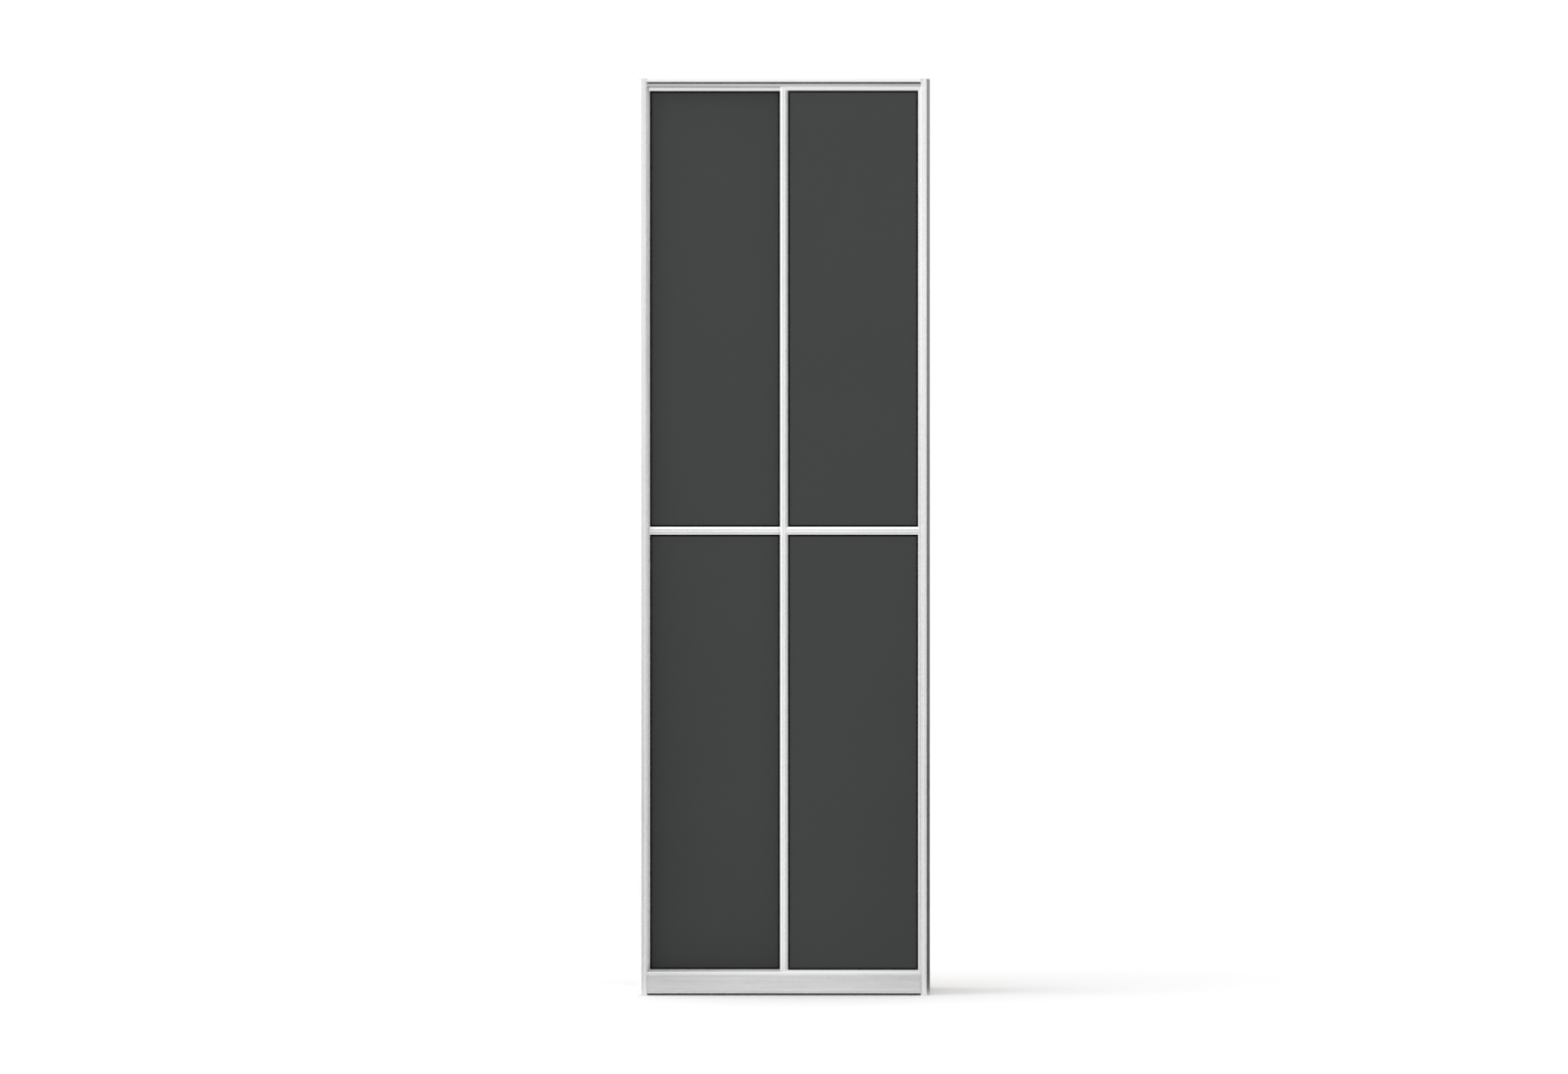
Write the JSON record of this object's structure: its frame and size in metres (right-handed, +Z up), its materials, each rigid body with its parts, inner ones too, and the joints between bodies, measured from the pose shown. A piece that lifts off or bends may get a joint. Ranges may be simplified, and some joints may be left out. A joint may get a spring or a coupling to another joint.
{
  "type": "sliding door wardrobe",
  "caption": "Narrow tall wardrobe with by-passing sliding doors of graphite panels in slim aluminium frames, a hat shelf, a hanging rail and a lower shelf.",
  "frame": {"origin": "on the floor, under the middle of the wardrobe's outer box", "axes": "+Z up along the height; +X to the right as seen from the front; the doors face -Y and the back faces +Y"},
  "size_m": [0.7, 0.6, 2.2],
  "materials": {
    "anodised_aluminium": "satin",
    "graphite_board": "satin",
    "carcass_board": "matte",
    "hardboard": "matte",
    "white_plastic": "satin",
    "grey_plastic": "satin",
    "chromed_tube": "polished",
    "zinc": "satin",
    "plated_steel": "satin",
    "beech": "matte",
    "black_rubber": "matte",
    "pile": "matte",
    "nylon": "satin"
  },
  "bodies": {
    "carcass": {"side_panel_left": "carcass_board", "side_panel_right": "carcass_board", "roof_panel": "carcass_board", "floor_panel": "carcass_board", "hat_shelf": "carcass_board", "lower_shelf": "carcass_board", "back_panel_upper": "hardboard", "back_panel_lower": "hardboard", "back_joint_strip": "white_plastic", "front_post_left": "anodised_aluminium", "front_post_right": "anodised_aluminium", "post_end_caps": "grey_plastic", "head_rail": "anodised_aluminium", "head_insert": "black_rubber", "sill_rail": "anodised_aluminium", "glides": "grey_plastic", "hanging_rail": "chromed_tube", "rail_sockets": "zinc", "shelf_pins": "plated_steel", "cam_fittings": "zinc", "wood_dowels": "beech", "carcass_screws": "plated_steel", "wall_brackets": "plated_steel", "door_stops": "black_rubber"},
    "left_door": {"left_door_meeting_stile": "anodised_aluminium", "left_door_outer_stile": "anodised_aluminium", "left_door_top_rail": "anodised_aluminium", "left_door_mid_rail": "anodised_aluminium", "left_door_bottom_rail": "anodised_aluminium", "left_door_upper_panel": "graphite_board", "left_door_lower_panel": "graphite_board", "left_door_panel_gaskets": "black_rubber", "left_door_frame_screws": "plated_steel", "left_door_brush_seals": "pile", "left_door_roller_carriages": "plated_steel", "left_door_axle_pins": "plated_steel", "left_door_adjusting_screws": "zinc", "left_door_guide_brackets": "plated_steel"},
    "left_door_inner_roller": {"left_door_inner_roller": "nylon"},
    "left_door_outer_roller": {"left_door_outer_roller": "nylon"},
    "left_door_inner_guide_wheel": {"left_door_inner_guide_wheel": "nylon"},
    "left_door_outer_guide_wheel": {"left_door_outer_guide_wheel": "nylon"},
    "right_door": {"right_door_meeting_stile": "anodised_aluminium", "right_door_outer_stile": "anodised_aluminium", "right_door_top_rail": "anodised_aluminium", "right_door_mid_rail": "anodised_aluminium", "right_door_bottom_rail": "anodised_aluminium", "right_door_upper_panel": "graphite_board", "right_door_lower_panel": "graphite_board", "right_door_panel_gaskets": "black_rubber", "right_door_frame_screws": "plated_steel", "right_door_brush_seals": "pile", "right_door_roller_carriages": "plated_steel", "right_door_axle_pins": "plated_steel", "right_door_adjusting_screws": "zinc", "right_door_guide_brackets": "plated_steel"},
    "right_door_inner_roller": {"right_door_inner_roller": "nylon"},
    "right_door_outer_roller": {"right_door_outer_roller": "nylon"},
    "right_door_inner_guide_wheel": {"right_door_inner_guide_wheel": "nylon"},
    "right_door_outer_guide_wheel": {"right_door_outer_guide_wheel": "nylon"}
  },
  "joints": [
    {"name": "left_door_slide", "type": "slide", "parent": "carcass", "child": "left_door", "axis": [1, 0, 0], "range_m": [0, 0.3207]},
    {"name": "left_door_inner_roller_spin", "type": "hinge", "parent": "left_door", "child": "left_door_inner_roller", "pos_m": [-0.0443, -0.2505, 0.0361], "axis": [0, 1, 0], "continuous": true},
    {"name": "left_door_outer_roller_spin", "type": "hinge", "parent": "left_door", "child": "left_door_outer_roller", "pos_m": [-0.287, -0.2505, 0.0361], "axis": [0, 1, 0], "continuous": true},
    {"name": "left_door_inner_guide_wheel_spin", "type": "hinge", "parent": "left_door", "child": "left_door_inner_guide_wheel", "pos_m": [-0.0443, -0.2505, 2.1888], "axis": [0, 0, 1], "continuous": true},
    {"name": "left_door_outer_guide_wheel_spin", "type": "hinge", "parent": "left_door", "child": "left_door_outer_guide_wheel", "pos_m": [-0.287, -0.2505, 2.1888], "axis": [0, 0, 1], "continuous": true},
    {"name": "right_door_slide", "type": "slide", "parent": "carcass", "child": "right_door", "axis": [1, 0, 0], "range_m": [-0.3207, 0]},
    {"name": "right_door_inner_roller_spin", "type": "hinge", "parent": "right_door", "child": "right_door_inner_roller", "pos_m": [0.0443, -0.2825, 0.0361], "axis": [0, 1, 0], "continuous": true},
    {"name": "right_door_outer_roller_spin", "type": "hinge", "parent": "right_door", "child": "right_door_outer_roller", "pos_m": [0.287, -0.2825, 0.0361], "axis": [0, 1, 0], "continuous": true},
    {"name": "right_door_inner_guide_wheel_spin", "type": "hinge", "parent": "right_door", "child": "right_door_inner_guide_wheel", "pos_m": [0.0443, -0.2825, 2.1888], "axis": [0, 0, 1], "continuous": true},
    {"name": "right_door_outer_guide_wheel_spin", "type": "hinge", "parent": "right_door", "child": "right_door_outer_guide_wheel", "pos_m": [0.287, -0.2825, 2.1888], "axis": [0, 0, 1], "continuous": true}
  ],
  "couplings": [
    {"joint": "left_door_inner_roller_spin", "follows": "left_door_slide", "rad_per_m": 111.11},
    {"joint": "left_door_outer_roller_spin", "follows": "left_door_slide", "rad_per_m": 111.11},
    {"joint": "left_door_inner_guide_wheel_spin", "follows": "left_door_slide", "rad_per_m": -100},
    {"joint": "left_door_outer_guide_wheel_spin", "follows": "left_door_slide", "rad_per_m": -100},
    {"joint": "right_door_inner_roller_spin", "follows": "right_door_slide", "rad_per_m": 111.11},
    {"joint": "right_door_outer_roller_spin", "follows": "right_door_slide", "rad_per_m": 111.11},
    {"joint": "right_door_inner_guide_wheel_spin", "follows": "right_door_slide", "rad_per_m": -100},
    {"joint": "right_door_outer_guide_wheel_spin", "follows": "right_door_slide", "rad_per_m": -100}
  ]
}
